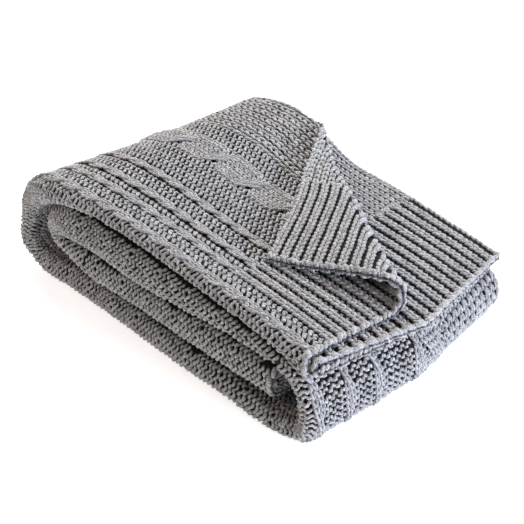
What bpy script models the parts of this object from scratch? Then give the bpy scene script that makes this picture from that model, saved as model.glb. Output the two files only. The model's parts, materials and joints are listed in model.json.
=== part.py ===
"""Cable knit baby blanket, folded.

One knitted cloth. It is folded into quarters across its width, then rolled flat over along its length, and
the far corner of its top hem is turned back. The cloth starts as a flat grid that holds lengths along and
across the knitting, is moved to its folds and given its thickness. Right end +X, far long side +Y, up +Z.
"""
import bmesh
import bpy
import numpy as np

# Units of the tables
MM = 0.001

# Cloth
SHEET_THICKNESS = 2.2
PLY_WIDTH = 195.0
INNER_TURN = 7.0
OUTER_TURN = 20.0
INNER_RADIUS = 0.5
OUTER_RADIUS = 1.5
BULGE = 0.8
GROUND = 0.0

# Middle of the folded blanket's outline on the surface
CENTRE = (-140.9, 94.1, 0.0)

# Middle line of the rolled bundle of four plies, at the near and at the far long side, in mm
STATION_COLUMNS = ("near_x", "near_z", "near_thick", "far_x", "far_z", "far_thick", "near_y", "far_y")
STATIONS = (
    (-27.0, 31.0, 21.0, -34.0, 20.5, 12.5, 0.0, 194.0),
    (-70.0, 33.0, 23.5, -75.0, 23.0, 14.0, -1.0, 195.0),
    (-120.0, 32.5, 21.5, -120.0, 25.5, 15.0, -2.0, 196.0),
    (-170.0, 32.3, 20.5, -170.0, 28.5, 17.0, -2.0, 197.0),
    (-215.0, 34.0, 21.5, -215.0, 30.5, 19.0, -4.0, 197.0),
    (-243.0, 36.0, 12.5, -246.0, 33.0, 16.0, -5.0, 196.0),
    (-256.0, 38.0, 10.5, -257.0, 37.0, 16.0, -5.0, 196.0),
    (-261.5, 44.5, 10.5, -263.0, 44.0, 16.0, -5.0, 196.0),
    (-259.0, 51.5, 14.0, -257.0, 51.0, 16.0, -5.0, 196.0),
    (-248.0, 57.0, 22.0, -246.0, 55.0, 16.0, -5.0, 196.0),
    (-212.0, 60.3, 24.5, -212.0, 55.5, 24.0, -4.0, 197.0),
    (-160.0, 57.3, 25.5, -160.0, 48.5, 18.0, -3.0, 198.0),
    (-110.0, 55.3, 19.5, -110.0, 43.0, 16.0, -2.0, 198.0),
    (-60.0, 53.0, 12.5, -60.0, 39.0, 14.0, -1.0, 197.0),
    (-24.0, 50.3, 10.5, -34.0, 34.0, 12.5, -2.0, 197.0),
    (-6.0, 45.0, 11.0, -16.5, 29.5, 12.5, -3.0, 197.0),
    (4.5, 27.5, 12.0, -9.0, 19.5, 12.5, -4.0, 197.0),
    (3.0, 12.5, 12.5, -13.5, 9.8, 12.5, -4.0, 196.0),
    (-9.0, 6.5, 13.0, -28.0, 6.25, 12.5, -5.0, 196.0),
    (-70.0, 9.3, 17.5, -75.0, 7.0, 14.0, -6.0, 197.0),
    (-130.0, 9.8, 18.5, -130.0, 7.5, 15.0, -6.0, 198.0),
    (-190.0, 10.0, 19.0, -190.0, 8.5, 17.0, -4.0, 199.0),
    (-240.0, 10.0, 19.0, -240.0, 8.5, 17.0, -4.0, 198.0),
    (-276.0, 13.0, 16.0, -270.0, 13.0, 15.0, -8.0, 197.0),
    (-290.0, 26.0, 15.0, -285.0, 26.0, 14.0, -10.0, 197.0),
    (-290.0, 44.0, 14.5, -288.0, 44.0, 13.5, -8.0, 197.0),
    (-283.0, 61.0, 18.5, -281.0, 62.0, 13.0, -7.0, 198.0),
    (-268.5, 74.5, 19.5, -266.0, 76.0, 12.5, -8.0, 199.0),
    (-245.0, 81.8, 15.5, -245.0, 82.5, 12.5, -8.0, 201.0),
    (-205.0, 82.7, 11.0, -205.0, 82.5, 12.5, -5.0, 202.0),
    (-150.0, 78.5, 9.5, -150.0, 65.5, 12.5, -2.0, 198.0),
    (-100.0, 72.5, 9.5, -100.0, 61.0, 12.5, -1.0, 197.0),
    (-60.0, 67.8, 10.0, -60.0, 55.5, 12.5, 0.0, 197.0),
    (-30.0, 64.0, 11.0, -30.0, 51.0, 12.5, 0.0, 197.0),
    (13.0, 56.5, 12.5, 7.0, 45.0, 12.5, 0.0, 196.0),
)
# Grid lines between each station and the next
STATION_STEPS = (1, 1, 1, 1, 1, 2, 2, 2, 2, 1, 1, 1, 1, 1, 2, 2, 2, 1, 1, 1, 1, 1,
                 2, 2, 2, 2, 2, 1, 1, 1, 1, 2, 2, 2)

# Across the width: distance from the near side, share of the far section, reach of the right end and
# sag of the top
ACROSS_COLUMNS = ("y", "far_share", "right_reach", "sag")
ACROSS = (
    (0.0, 0.0, 0.0, 0.0),
    (50.0, 0.2, 5.5, 2.0),
    (90.0, 0.42, 9.5, 3.0),
    (120.0, 0.6, 6.5, 3.0),
    (165.0, 0.86, 3.0, 1.5),
    (195.0, 1.0, 0.0, 0.0),
)
SAG_START = 55.0
SAG_FULL = 75.0
REACH_START = -120.0
REACH_FULL = -20.0

# Plies in the order of the cloth's width, with how far each end of the outer hem falls short
PLY_COLUMNS = ("ply", "offset", "near_short", "middle_short", "far_short")
PLIES = (
    ("B", 0.5, 9.0, 3.0, 15.0),
    ("C", -0.5, 5.0, 6.0, 24.0),
    ("D", -1.5, 9.0, 12.0, 26.0),
    ("A", 1.5, 15.0, 18.5, 8.5),
)
SHORT_PLACES = (0.0, 90.0, 195.0)
INNER_LINES = (0.0, 50.0, 90.0, 120.0, 165.0, 195.0)
TOP_LINES = (0.0, 15.0, 20.0, 25.0, 30.0, 35.0, 40.0, 50.0, 55.0, 60.0, 75.0, 90.0, 98.0, 105.0, 112.0,
             120.0, 135.0, 150.0, 165.0, 180.0, 195.0)
INNER_ANGLES = (90.0, 45.0, 0.0, -45.0, -90.0)
OUTER_ANGLES = (-90.0, -60.0, -30.0, 0.0, 30.0, 60.0, 90.0)

# Raised knitting on the outer ply
RAISED_COLUMNS = ("place", "middle", "half_width", "height")
RAISED = (
    ("top", 20.0, 5.0, 1.2),
    ("top", 35.0, 5.0, 1.2),
    ("top", 55.0, 5.0, 1.2),
    ("top", 105.0, 15.0, 2.0),
    ("top", 168.0, 33.0, 0.6),
    ("wrap", 27.5, 4.0, 1.2),
    ("wrap", 52.5, 4.0, 1.2),
    ("wrap", 90.0, 4.0, 1.2),
    ("wrap", 107.0, 12.0, 1.0),
)
RIB_PITCH = 10.0
RIB_HEIGHT = 0.6
RIB_REACH = 88.0
RIB_LINES = (5.0, 10.0, 45.0, 65.0, 70.0, 80.0, 85.0, 95.0, 100.0, 110.0, 115.0, 125.0, 130.0, 140.0,
             145.0, 155.0, 160.0, 170.0, 175.0, 185.0, 190.0)
RIB_FADE = 12.0
WRAP_FROM, WRAP_TO = 14, 18
ROLL_FROM, ROLL_FULL = 22, 24

# Corner turned back: its fold line on the top ply, from the far edge to the hem
TURN_START = (-215.0, 195.0)
TURN_END = (-21.0, 85.5)
CURL_START = 4.3
CURL_END = 9.8
CURL_GROWTH = 2.5
FOLD_BEND = 12.7
BEND_FROM = 0.45
CURL_ANGLES = (0.0, 36.0, 72.0, 108.0, 144.0, 180.0)
REST_HEIGHT = 5.3
REST_DISTANCE = 70.0
DRAWN_IN = 0.74
SLIDE = -0.06

# Look
YARN_COLOUR = (0.235, 0.232, 0.235, 1.0)
YARN_ROUGHNESS = 0.95

SMALL = 0.01


def smooth(value, low, high):
    """Ease from 0 at low to 1 at high."""
    share = np.clip((value - low) / (high - low), 0.0, 1.0)
    return share * share * (3.0 - 2.0 * share)


def column(table, names, name):
    """One named column of a table."""
    return np.array([row[names.index(name)] for row in table])


def station(name):
    """One named column of the stations."""
    return column(STATIONS, STATION_COLUMNS, name)


def along_knots():
    """Length along the cloth at each station, 0 at the outer hem."""
    x = (station("near_x") + station("far_x")) / 2.0
    z = (station("near_z") + station("far_z")) / 2.0
    lengths = np.concatenate(([0.0], np.cumsum(np.hypot(np.diff(x), np.diff(z)))))
    return lengths - lengths[-1]


KNOTS = along_knots()


def curve(s, name):
    """Smooth value of a station column at lengths s along the cloth."""
    values = station(name)
    step = np.diff(KNOTS)
    chord = np.diff(values) / step
    slope = np.empty_like(values)
    slope[1:-1] = (step[:-1] * chord[1:] + step[1:] * chord[:-1]) / (step[:-1] + step[1:])
    slope[0] = chord[0]
    slope[-1] = chord[-1]
    i = np.clip(np.searchsorted(KNOTS, s, side="right") - 1, 0, len(KNOTS) - 2)
    f = (s - KNOTS[i]) / step[i]
    start = (1.0 + 2.0 * f) * (1.0 - f) ** 2 * values[i] + f * (1.0 - f) ** 2 * step[i] * slope[i]
    end = f * f * (3.0 - 2.0 * f) * values[i + 1] - f * f * (1.0 - f) * step[i] * slope[i + 1]
    return start + end


def across(y, name):
    """Value of a column of the table across the width."""
    return np.interp(y, column(ACROSS, ACROSS_COLUMNS, "y"), column(ACROSS, ACROSS_COLUMNS, name))


def middle_line(s, y):
    """Position of the bundle's middle line."""
    share = across(y, "far_share")
    x = (1.0 - share) * curve(s, "near_x") + share * curve(s, "far_x")
    z = (1.0 - share) * curve(s, "near_z") + share * curve(s, "far_z")
    z = z - across(y, "sag") * smooth(z, SAG_START, SAG_FULL)
    return x + across(y, "right_reach") * smooth(x, REACH_START, REACH_FULL), z


def pitch(s, y):
    """Distance between neighbouring plies."""
    share = across(y, "far_share")
    thick = (1.0 - share) * curve(s, "near_thick") + share * curve(s, "far_thick")
    return (thick - SHEET_THICKNESS) / 3.0


def place(s, y, offset, height, near_turn, far_turn):
    """Point of the folded bundle.

    offset counts ply pitches outward from the middle line, height is added outward in mm, and the two turns
    push the point out past the near and the far side.
    """
    x, z = middle_line(s, y)
    x_after, z_after = middle_line(s + SMALL, y)
    x_before, z_before = middle_line(s - SMALL, y)
    length = np.hypot(x_after - x_before, z_after - z_before)
    normal_x = -(z_after - z_before) / length
    normal_z = (x_after - x_before) / length
    gap = pitch(s, y)
    out = offset * gap + height
    side = curve(s, "near_y") + y / PLY_WIDTH * (curve(s, "far_y") - curve(s, "near_y"))
    side = side + BULGE * gap * (far_turn - near_turn)
    return np.stack((x + out * normal_x, side, z + out * normal_z), axis=-1)


def width_lines():
    """Lines across the flat cloth: width position, y, offset, near turn, far turn, hem shortening."""
    lines = []
    base = 0.0
    plies = {row[PLY_COLUMNS.index("ply")]: row for row in PLIES}

    def add_ply(name, positions, towards_near):
        _, offset, *shorts = plies[name]
        ordered = positions[::-1] if towards_near else positions
        for y in ordered:
            run = PLY_WIDTH - y if towards_near else y
            lines.append((base + run, y, offset, 0.0, 0.0, np.interp(y, SHORT_PLACES, shorts)))

    def add_turn(angles, length, y, radius, middle, first, last):
        column = PLY_COLUMNS.index("near_short" if y == 0.0 else "far_short")
        for k in range(1, len(angles) - 1):
            share = k / (len(angles) - 1)
            reach = radius * np.cos(np.radians(angles[k]))
            near, far = (reach, 0.0) if y == 0.0 else (0.0, reach)
            offset = middle + radius * np.sin(np.radians(angles[k]))
            short = plies[first][column] + share * (plies[last][column] - plies[first][column])
            lines.append((base + share * length, y, offset, near, far, short))

    add_ply("B", INNER_LINES, True)
    base += PLY_WIDTH
    add_turn(INNER_ANGLES, INNER_TURN, 0.0, INNER_RADIUS, 0.0, "B", "C")
    base += INNER_TURN
    add_ply("C", INNER_LINES, False)
    base += PLY_WIDTH
    add_turn(INNER_ANGLES, INNER_TURN, PLY_WIDTH, INNER_RADIUS, -1.0, "C", "D")
    base += INNER_TURN
    add_ply("D", INNER_LINES, True)
    base += PLY_WIDTH
    add_turn(OUTER_ANGLES, OUTER_TURN, 0.0, OUTER_RADIUS, 0.0, "D", "A")
    base += OUTER_TURN
    add_ply("A", TOP_LINES, False)
    return np.array(lines)


WIDTH_LINES = width_lines()
TOP_START = WIDTH_LINES[-1, 0] - PLY_WIDTH


def along_lines():
    """Lengths along the cloth at which the flat grid has its lines."""
    lines = [KNOTS[0]]
    for k, count in enumerate(STATION_STEPS):
        for part in range(1, count + 1):
            lines.append(KNOTS[k] + (KNOTS[k + 1] - KNOTS[k]) * part / count)
    return np.array(lines)


def turn_frame():
    """Start, direction, normal and length of the corner's fold line."""
    start = np.array(TURN_START)
    run = np.array(TURN_END) - start
    length = np.hypot(*run)
    direction = run / length
    return start, direction, np.array((-direction[1], direction[0])), length


def curl_radius(along):
    """Radius of the corner's curl, growing from the far edge to the hem."""
    length = turn_frame()[3]
    return CURL_START + (CURL_END - CURL_START) * np.clip(along / length, 0.0, 1.1) ** CURL_GROWTH


def fold_bend(along):
    """How far the corner's fold line bends inward near the hem."""
    return -FOLD_BEND * smooth(along / turn_frame()[3], BEND_FROM, 1.0)


def turn_back(s, y):
    """Where the top ply's points lie once the corner is turned back, and how high above the ply."""
    start, direction, normal, _ = turn_frame()
    along = (s - start[0]) * direction[0] + (y - start[1]) * direction[1]
    bend = fold_bend(along)
    beyond = (s - start[0]) * normal[0] + (y - start[1]) * normal[1] - bend
    radius = curl_radius(along)
    angle = np.clip(beyond / radius, 0.0, np.pi)
    flat = DRAWN_IN * np.maximum(beyond - np.pi * radius, 0.0)
    along = along + SLIDE * flat
    moved = np.where(beyond > 0.0, radius * np.sin(angle) - flat, beyond)
    rest = np.minimum(2.0 * radius, REST_HEIGHT)
    sink = (2.0 * radius - rest) * smooth(flat, 0.0, REST_DISTANCE)
    height = radius * (1.0 - np.cos(angle)) - sink
    new_s = start[0] + along * direction[0] + (bend + moved) * normal[0]
    new_y = start[1] + along * direction[1] + (bend + moved) * normal[1]
    return new_s, new_y, np.where(beyond > 0.0, height, 0.0), beyond / radius


def raised(s, y):
    """Height of cables and ribs on the outer ply."""
    height = np.zeros_like(s)
    top = smooth(s, KNOTS[ROLL_FROM], KNOTS[ROLL_FULL])
    top = top * (1.0 - smooth(s, -RIB_REACH - RIB_FADE, -RIB_REACH))
    wrap = smooth(s, KNOTS[WRAP_FROM], KNOTS[WRAP_FROM + 1])
    wrap = wrap * (1.0 - smooth(s, KNOTS[WRAP_TO - 1], KNOTS[WRAP_TO]))
    shares = {"top": top, "wrap": wrap}
    for place_name, middle, half_width, rise in RAISED:
        inside = np.clip(1.0 - ((y - middle) / half_width) ** 2, 0.0, 1.0)
        height += shares[place_name] * rise * np.sqrt(inside)
    ribs = smooth(s, -RIB_REACH, -RIB_REACH + RIB_FADE)
    return height + ribs * RIB_HEIGHT * np.cos(2.0 * np.pi * y / RIB_PITCH)


def folded(s, v):
    """Folded position of points of the flat cloth."""
    positions, *columns = WIDTH_LINES.T
    y, offset, near_turn, far_turn, short = (np.interp(v, positions, values) for values in columns)
    last = KNOTS[ROLL_FULL]
    s = np.where(s > last, last + (s - last) * (1.0 - short / (KNOTS[-1] - last)), s)
    on_top = v >= TOP_START
    rise = np.where(on_top, raised(s, y), 0.0)
    flap_s, flap_y, flap_height, turned = turn_back(s, y)
    flapped = on_top & (turned > 0.0) & (s > TURN_START[0])
    rise = np.where(flapped, rise * np.cos(np.clip(turned, 0.0, np.pi)) + flap_height, rise)
    s = np.where(flapped, flap_s, s)
    y = np.where(flapped, flap_y, y)
    points = place(s, y, offset, rise, near_turn, far_turn)
    points[:, 2] = np.maximum(points[:, 2], GROUND + SHEET_THICKNESS / 2.0)
    return points


def cut_line(mesh, faces_of, start, end):
    """Cut the faces that a test picks along the line through two points of the flat cloth."""
    run = np.array(end) - np.array(start)
    faces = [face for face in mesh.faces if faces_of(face.calc_center_median())]
    edges = {edge for face in faces for edge in face.edges}
    vertices = {vertex for face in faces for vertex in face.verts}
    bmesh.ops.bisect_plane(mesh, geom=[*faces, *edges, *vertices], dist=SMALL,
                           plane_co=(start[0], start[1], 0.0), plane_no=(-run[1], run[0], 0.0))


def flat_mesh():
    """Flat cloth with grid lines at the folds, cables, hem ribs and along the corner's curl."""
    rows = along_lines()
    lines = WIDTH_LINES[:, 0]
    mesh = bmesh.new()
    bmesh.ops.create_grid(mesh, x_segments=len(rows) - 1, y_segments=len(lines) - 1, size=0.5)
    for vertex in mesh.verts:
        i = round((vertex.co.x + 0.5) * (len(rows) - 1))
        j = round((vertex.co.y + 0.5) * (len(lines) - 1))
        vertex.co = (rows[i], lines[j], 0.0)

    def in_hem(centre):
        return centre.x > -RIB_REACH and centre.y > TOP_START

    for y in RIB_LINES:
        cut_line(mesh, in_hem, (-RIB_REACH, TOP_START + y), (0.0, TOP_START + y))

    def in_corner(centre):
        return centre.x > TURN_START[0] - PLY_WIDTH / 10.0 and centre.y > TOP_START

    start, direction, normal, length = turn_frame()
    for angle in np.radians(CURL_ANGLES):
        first = start + normal * angle * curl_radius(0.0)
        last = start + direction * length + normal * (angle * curl_radius(length) - FOLD_BEND)
        cut_line(mesh, in_corner, (first[0], first[1] + TOP_START), (last[0], last[1] + TOP_START))
    return mesh


def yarn_material():
    """Soft matt grey yarn."""
    material = bpy.data.materials.new("grey_yarn")
    material.use_nodes = True
    shader = material.node_tree.nodes["Principled BSDF"]
    shader.inputs["Base Color"].default_value = YARN_COLOUR
    shader.inputs["Roughness"].default_value = YARN_ROUGHNESS
    shader.inputs["Metallic"].default_value = 0.0
    return material


def blanket():
    """The folded cloth with its thickness."""
    mesh = flat_mesh()
    flat = np.array([vertex.co for vertex in mesh.verts])
    points = (folded(flat[:, 0], flat[:, 1]) - np.array(CENTRE)) * MM
    for vertex, point in zip(mesh.verts, points):
        vertex.co = point
    data = bpy.data.meshes.new("blanket")
    mesh.to_mesh(data)
    mesh.free()
    data.materials.append(yarn_material())
    cloth = bpy.data.objects.new("blanket", data)
    shell = cloth.modifiers.new("thickness", "SOLIDIFY")
    shell.thickness = SHEET_THICKNESS * MM
    shell.offset = 0.0
    shell.use_rim = True
    return cloth


def main():
    """Empty the scene and build the blanket."""
    for item in list(bpy.data.objects):
        bpy.data.objects.remove(item, do_unlink=True)
    collection = bpy.data.collections.new("cable_knit_baby_blanket")
    bpy.context.scene.collection.children.link(collection)
    collection.objects.link(blanket())


main()
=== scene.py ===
"""Cable knit baby blanket, folded: the knitted cloth dressed stitch by stitch on the folds of its solid.

Lengths are in millimetres unless a comment says metres, and are turned to metres where a mesh is made. The
cloth is described by three numbers: length along the knitting (0 at the outer hem, negative inward), width
across it, and height outward from the middle of the cloth. `Fold` moves such points to where the folded
blanket has them.
"""

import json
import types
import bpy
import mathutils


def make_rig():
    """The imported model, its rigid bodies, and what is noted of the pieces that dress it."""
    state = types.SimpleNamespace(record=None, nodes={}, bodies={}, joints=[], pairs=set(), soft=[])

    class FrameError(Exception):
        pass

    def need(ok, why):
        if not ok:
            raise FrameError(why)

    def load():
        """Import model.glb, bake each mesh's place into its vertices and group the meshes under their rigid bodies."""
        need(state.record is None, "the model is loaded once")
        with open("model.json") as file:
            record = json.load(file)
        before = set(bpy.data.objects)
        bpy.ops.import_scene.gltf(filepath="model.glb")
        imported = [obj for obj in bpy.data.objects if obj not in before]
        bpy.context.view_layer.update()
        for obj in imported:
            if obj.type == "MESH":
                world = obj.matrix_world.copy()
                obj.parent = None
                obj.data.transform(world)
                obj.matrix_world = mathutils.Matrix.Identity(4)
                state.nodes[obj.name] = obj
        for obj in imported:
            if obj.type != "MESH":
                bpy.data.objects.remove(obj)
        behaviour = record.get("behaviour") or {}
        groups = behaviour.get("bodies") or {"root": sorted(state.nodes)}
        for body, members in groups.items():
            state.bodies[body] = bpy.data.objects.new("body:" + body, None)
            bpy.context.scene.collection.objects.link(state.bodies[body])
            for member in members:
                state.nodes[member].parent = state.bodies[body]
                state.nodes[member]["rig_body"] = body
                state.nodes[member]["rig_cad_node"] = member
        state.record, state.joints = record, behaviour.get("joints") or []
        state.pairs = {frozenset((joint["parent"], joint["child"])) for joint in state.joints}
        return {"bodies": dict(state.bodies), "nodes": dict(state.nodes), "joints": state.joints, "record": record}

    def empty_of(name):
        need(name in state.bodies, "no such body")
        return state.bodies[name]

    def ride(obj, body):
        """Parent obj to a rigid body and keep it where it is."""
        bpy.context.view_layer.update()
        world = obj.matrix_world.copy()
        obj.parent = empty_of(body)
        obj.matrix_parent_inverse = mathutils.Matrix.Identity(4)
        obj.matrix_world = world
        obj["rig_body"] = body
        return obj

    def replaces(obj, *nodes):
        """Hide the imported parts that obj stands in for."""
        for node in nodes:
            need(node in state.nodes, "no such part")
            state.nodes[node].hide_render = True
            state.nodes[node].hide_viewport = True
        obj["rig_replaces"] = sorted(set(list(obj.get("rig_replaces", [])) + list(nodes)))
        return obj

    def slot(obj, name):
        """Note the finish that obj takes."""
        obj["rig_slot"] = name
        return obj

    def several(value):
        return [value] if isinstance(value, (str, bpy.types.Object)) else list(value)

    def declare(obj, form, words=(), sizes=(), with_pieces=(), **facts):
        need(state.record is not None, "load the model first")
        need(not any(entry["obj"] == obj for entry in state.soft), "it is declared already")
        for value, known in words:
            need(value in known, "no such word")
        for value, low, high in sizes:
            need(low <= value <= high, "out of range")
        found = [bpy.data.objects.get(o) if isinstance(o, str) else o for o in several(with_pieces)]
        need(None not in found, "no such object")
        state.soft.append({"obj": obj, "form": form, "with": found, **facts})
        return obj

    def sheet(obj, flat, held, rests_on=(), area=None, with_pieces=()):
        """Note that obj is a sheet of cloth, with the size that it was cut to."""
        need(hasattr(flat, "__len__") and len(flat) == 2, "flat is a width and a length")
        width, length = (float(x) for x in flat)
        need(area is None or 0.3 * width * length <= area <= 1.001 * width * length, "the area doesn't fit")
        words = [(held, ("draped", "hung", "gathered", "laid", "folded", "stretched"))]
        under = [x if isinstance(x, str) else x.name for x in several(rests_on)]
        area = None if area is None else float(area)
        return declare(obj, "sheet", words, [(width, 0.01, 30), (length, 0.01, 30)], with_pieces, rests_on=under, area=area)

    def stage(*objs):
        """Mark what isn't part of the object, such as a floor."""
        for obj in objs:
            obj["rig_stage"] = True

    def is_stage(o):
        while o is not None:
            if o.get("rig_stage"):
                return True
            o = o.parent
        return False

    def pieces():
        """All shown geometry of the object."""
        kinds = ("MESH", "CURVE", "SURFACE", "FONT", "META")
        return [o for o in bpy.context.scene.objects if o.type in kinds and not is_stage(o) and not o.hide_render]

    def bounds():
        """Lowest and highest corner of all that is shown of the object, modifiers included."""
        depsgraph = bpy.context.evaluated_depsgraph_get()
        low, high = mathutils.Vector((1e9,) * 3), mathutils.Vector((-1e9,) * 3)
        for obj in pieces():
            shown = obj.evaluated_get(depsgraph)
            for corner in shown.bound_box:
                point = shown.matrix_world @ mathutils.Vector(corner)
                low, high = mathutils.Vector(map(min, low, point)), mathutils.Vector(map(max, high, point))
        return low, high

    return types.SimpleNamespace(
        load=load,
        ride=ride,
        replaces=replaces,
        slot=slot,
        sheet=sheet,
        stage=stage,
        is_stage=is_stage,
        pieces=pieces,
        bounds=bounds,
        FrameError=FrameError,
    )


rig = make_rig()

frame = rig.load()

import json
import logging
from dataclasses import dataclass, replace
from enum import Enum

import bpy
import numpy as np
from mathutils import Vector

LOG = logging.getLogger("baby_blanket")
FRAME_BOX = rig.bounds()
MM = 0.001
SIZE_FILE = "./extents.json"
TINY = 1e-9
# step, start and size of the sine whose fraction is the fixed scatter
SCATTER = (12.9898, 78.233, 43758.5453)
# shares of a stitch's move by which it is also lifted and thickened
UNEVEN_LIFT = 0.8
UNEVEN_THICKNESS = 0.5


class Face(Enum):
    """Which face of the knitting is outward."""

    RIGHT = 1.0
    WRONG = -1.0


def smooth(value: np.ndarray, low: float, high: float) -> np.ndarray:
    """Ease from 0 at low to 1 at high: three times the share squared less twice its cube.

    Args:
        value: where to ease.
        low: value at which the ease starts.
        high: value at which it ends.

    Returns:
        The eased share at each value.
    """
    share = np.clip((value - low) / (high - low), 0.0, 1.0)
    return share * share * (3.0 - 2.0 * share)


def lattice(*counts: int) -> np.ndarray:
    """Fixed scatter between -1 and 1, the same in each run.

    Args:
        counts: shape of the array.

    Returns:
        The fraction of a large sine of each place's number, stretched to -1 to 1.
    """
    step, start, size = SCATTER
    number = np.arange(np.prod(counts), dtype=float).reshape(counts)
    return 2.0 * np.modf(np.abs(np.sin(number * step + start) * size))[0] - 1.0


@dataclass(frozen=True)
class Ply:
    """One of the four plies that the cloth's width is folded into."""

    near_short: float
    middle_short: float
    far_short: float
    # distances from the near side at which the three hold
    places: tuple[float, float, float] = (0.0, 90.0, 195.0)

    def short(self, y: np.ndarray) -> np.ndarray:
        """How far the outer hem falls short at y."""
        return np.interp(y, self.places, (self.near_short, self.middle_short, self.far_short))


@dataclass(frozen=True)
class Fold:
    """The folded form of the cloth: where each point of the flat knitting lies."""

    # thickness of the solid's cloth, width of a ply, and width that an inner and the outer turn take
    cloth_thickness: float = 2.2
    ply_width: float = 195.0
    inner_turn: float = 7.0
    outer_turn: float = 20.0
    # share of a half circle by which the turns stand out past the sides
    bulge: float = 0.8
    # point under the middle of the folded blanket, the frame's origin
    centre: tuple[float, float, float] = (-140.9, 94.1, 0.0)
    columns: tuple[str, ...] = ("near_x", "near_z", "near_thick", "far_x", "far_z", "far_thick", "near_y",
                                "far_y")
    stations: tuple[tuple[float, ...], ...] = (
        (-27.0, 31.0, 21.0, -34.0, 20.5, 12.5, 0.0, 194.0),
        (-70.0, 33.0, 23.5, -75.0, 23.0, 14.0, -1.0, 195.0),
        (-120.0, 32.5, 21.5, -120.0, 25.5, 15.0, -2.0, 196.0),
        (-170.0, 32.3, 20.5, -170.0, 28.5, 17.0, -2.0, 197.0),
        (-215.0, 34.0, 21.5, -215.0, 30.5, 19.0, -4.0, 197.0),
        (-243.0, 36.0, 12.5, -246.0, 33.0, 16.0, -5.0, 196.0),
        (-256.0, 38.0, 10.5, -257.0, 37.0, 16.0, -5.0, 196.0),
        (-261.5, 44.5, 10.5, -263.0, 44.0, 16.0, -5.0, 196.0),
        (-259.0, 51.5, 14.0, -257.0, 51.0, 16.0, -5.0, 196.0),
        (-248.0, 57.0, 22.0, -246.0, 55.0, 16.0, -5.0, 196.0),
        (-212.0, 60.3, 24.5, -212.0, 55.5, 24.0, -4.0, 197.0),
        (-160.0, 57.3, 25.5, -160.0, 48.5, 18.0, -3.0, 198.0),
        (-110.0, 55.3, 19.5, -110.0, 43.0, 16.0, -2.0, 198.0),
        (-60.0, 53.0, 12.5, -60.0, 39.0, 14.0, -1.0, 197.0),
        (-24.0, 50.3, 10.5, -34.0, 34.0, 12.5, -2.0, 197.0),
        (-6.0, 45.0, 11.0, -16.5, 29.5, 12.5, -3.0, 197.0),
        (4.5, 27.5, 12.0, -9.0, 19.5, 12.5, -4.0, 197.0),
        (3.0, 12.5, 12.5, -13.5, 9.8, 12.5, -4.0, 196.0),
        (-9.0, 6.5, 13.0, -28.0, 6.25, 12.5, -5.0, 196.0),
        (-70.0, 9.3, 17.5, -75.0, 7.0, 14.0, -6.0, 197.0),
        (-130.0, 9.8, 18.5, -130.0, 7.5, 15.0, -6.0, 198.0),
        (-190.0, 10.0, 19.0, -190.0, 8.5, 17.0, -4.0, 199.0),
        (-240.0, 10.0, 19.0, -240.0, 8.5, 17.0, -4.0, 198.0),
        (-276.0, 13.0, 16.0, -270.0, 13.0, 15.0, -8.0, 197.0),
        (-290.0, 26.0, 15.0, -285.0, 26.0, 14.0, -10.0, 197.0),
        (-290.0, 44.0, 14.5, -288.0, 44.0, 13.5, -8.0, 197.0),
        (-283.0, 61.0, 18.5, -281.0, 62.0, 13.0, -7.0, 198.0),
        (-268.5, 74.5, 19.5, -266.0, 76.0, 12.5, -8.0, 199.0),
        (-245.0, 81.8, 15.5, -245.0, 82.5, 12.5, -8.0, 201.0),
        (-205.0, 82.7, 11.0, -205.0, 82.5, 12.5, -5.0, 202.0),
        (-150.0, 78.5, 9.5, -150.0, 65.5, 12.5, -2.0, 198.0),
        (-100.0, 72.5, 9.5, -100.0, 61.0, 12.5, -1.0, 197.0),
        (-60.0, 67.8, 10.0, -60.0, 55.5, 12.5, 0.0, 197.0),
        (-30.0, 64.0, 11.0, -30.0, 51.0, 12.5, 0.0, 197.0),
        (13.0, 56.5, 12.5, 7.0, 45.0, 12.5, 0.0, 196.0),
    )
    across_columns: tuple[str, ...] = ("y", "far_share", "right_reach", "sag")
    across_rows: tuple[tuple[float, ...], ...] = (
        (0.0, 0.0, 0.0, 0.0),
        (50.0, 0.2, 5.5, 2.0),
        (90.0, 0.42, 9.5, 3.0),
        (120.0, 0.6, 6.5, 3.0),
        (165.0, 0.86, 3.0, 1.5),
        (195.0, 1.0, 0.0, 0.0),
    )
    # heights between which the sag sets in, and distances to the right between which the reach does
    sag_range: tuple[float, float] = (55.0, 75.0)
    reach_range: tuple[float, float] = (-120.0, -20.0)
    # shortening of each ply, from the cloth's first edge to the top ply
    ply_b: Ply = Ply(9.0, 3.0, 15.0)
    ply_c: Ply = Ply(5.0, 6.0, 24.0)
    ply_d: Ply = Ply(9.0, 12.0, 26.0)
    ply_a: Ply = Ply(15.0, 18.5, 8.5)
    # the corner's fold line from the far edge on: length along the cloth and distance from the near side
    turn_start: tuple[float, float] = (-215.0, 195.0)
    turn_end: tuple[float, float] = (-21.0, 85.5)
    # the curl's radius at both ends, the power with which it grows, and where on the line it stops
    curl_start: float = 4.3
    curl_end: float = 9.8
    curl_growth: float = 2.5
    growth_end: float = 1.1
    # how far the fold line bends, and the share of its length from which it does
    fold_bend: float = 12.7
    bend_from: float = 0.45
    # height to which the turned cloth sinks, and the distance from the curl over which it does
    rest_height: float = 5.3
    rest_distance: float = 70.0
    # length that is left of each millimetre of turned cloth, and how far it slides along the line
    drawn_in: float = 0.74
    slide: float = -0.06
    # station from which the hem's shortening is spread
    hem_from: int = 24
    # step for a direction, step along the cloth and number of places across for measuring true lengths
    small: float = 0.01
    measure_step: float = 1.5
    measure_lines: int = 60

    def column(self, name: str) -> np.ndarray:
        """One named column of the stations."""
        return np.array(self.stations)[:, self.columns.index(name)]

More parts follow.
